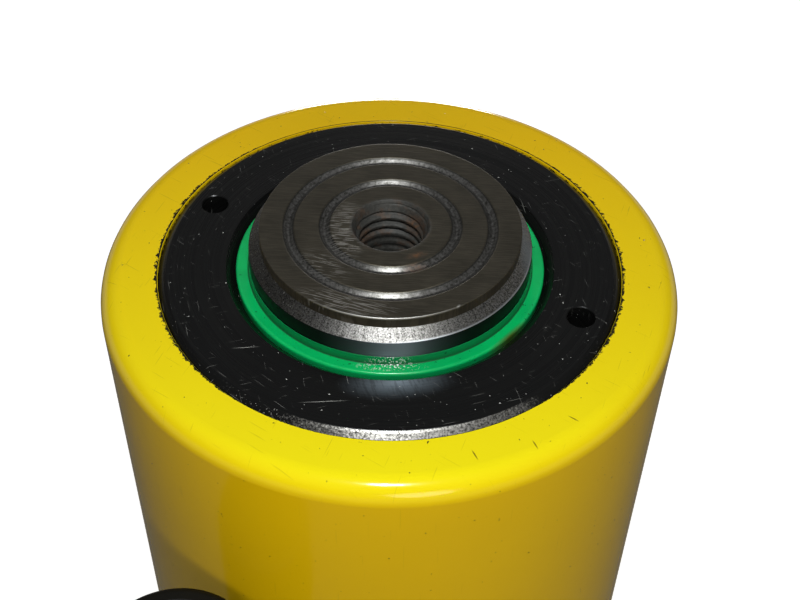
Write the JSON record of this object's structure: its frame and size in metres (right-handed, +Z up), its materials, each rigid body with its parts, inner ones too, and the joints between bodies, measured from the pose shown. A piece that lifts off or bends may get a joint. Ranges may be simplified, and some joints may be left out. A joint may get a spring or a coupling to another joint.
{
  "type": "double-acting hydraulic cylinder",
  "caption": "Round double-acting hydraulic cylinder with a grooved saddle on its plunger, a flush gland nut and two capped upright couplers on elbows.",
  "frame": {"origin": "centre of the base, on its bottom face, where the base bolt circle is centred", "axes": "+Z up along the cylinder, the way the plunger comes out; the couplers stand on the -X -Y side"},
  "size_m": [0.127, 0.1545, 0.3604],
  "materials": {
    "barrel_enamel": "gloss yellow stoving enamel",
    "nut_black": "blackened turned steel, oiled",
    "wiper_urethane": "moulded green polyurethane",
    "rod_chrome": "polished hard chrome, turned end chamfer",
    "saddle_steel": "turned steel, oily with a film of rust",
    "cap_black": "moulded black",
    "zinc_steel": "zinc plated",
    "poppet_brass": "turned",
    "spring_steel": "drawn wire",
    "plug_steel": "turned",
    "bush_iron": "turned ductile iron",
    "piston_steel": "turned",
    "screw_steel": "black oxide",
    "guide_resin": "fabric-filled resin",
    "ptfe": "white",
    "seal_urethane": "moulded polyurethane",
    "nitrile": "moulded"
  },
  "bodies": {
    "root": {"barrel": "barrel_enamel", "base_plug": "plug_steel", "base_o_ring": "nitrile", "base_backup_ring": "ptfe", "base_lock_screw": "screw_steel", "guide_bush": "bush_iron", "gland_o_ring": "nitrile", "gland_backup_ring": "ptfe", "rod_guide_ring_lower": "guide_resin", "rod_guide_ring_upper": "guide_resin", "rod_seal": "seal_urethane", "rod_backup_ring": "ptfe", "retaining_nut": "nut_black", "wiper_ring": "wiper_urethane", "advance_elbow": "zinc_steel", "advance_coupler_adapter": "zinc_steel", "advance_coupler_body": "zinc_steel", "advance_coupler_seal": "nitrile", "advance_poppet_spring": "spring_steel", "retract_elbow": "zinc_steel", "retract_coupler_adapter": "zinc_steel", "retract_coupler_body": "zinc_steel", "retract_coupler_seal": "nitrile", "retract_poppet_spring": "spring_steel"},
    "plunger": {"plunger": "rod_chrome", "saddle": "saddle_steel", "saddle_retaining_ring": "nitrile", "piston": "piston_steel", "piston_guide_ring_lower": "guide_resin", "piston_guide_ring_upper": "guide_resin", "piston_seal": "ptfe", "piston_energiser_ring": "nitrile", "piston_o_ring": "nitrile", "piston_lock_nut": "plug_steel", "piston_lock_screw": "screw_steel"},
    "advance_poppet": {"advance_poppet": "poppet_brass"},
    "retract_poppet": {"retract_poppet": "poppet_brass"},
    "advance_cap": {"advance_dust_cap": "cap_black"},
    "retract_cap": {"retract_dust_cap": "cap_black"}
  },
  "joints": [
    {"name": "plunger_slide", "type": "slide", "parent": "root", "child": "plunger", "axis": [0, 0, 1], "range_m": [0, 0.15]},
    {"name": "advance_cap_lift", "type": "slide", "parent": "root", "child": "advance_cap", "axis": [0, 0, 1], "range_m": [0, 0.05]},
    {"name": "retract_cap_lift", "type": "slide", "parent": "root", "child": "retract_cap", "axis": [0, 0, 1], "range_m": [0, 0.05]},
    {"name": "advance_poppet_push", "type": "slide", "parent": "root", "child": "advance_poppet", "axis": [0, 0, -1], "range_m": [0, 0.004], "stiffness_N_per_m": 1500, "springref_m": -0.002, "deforming": ["advance_poppet_spring"]},
    {"name": "retract_poppet_push", "type": "slide", "parent": "root", "child": "retract_poppet", "axis": [0, 0, -1], "range_m": [0, 0.004], "stiffness_N_per_m": 1500, "springref_m": -0.002, "deforming": ["retract_poppet_spring"]}
  ]
}
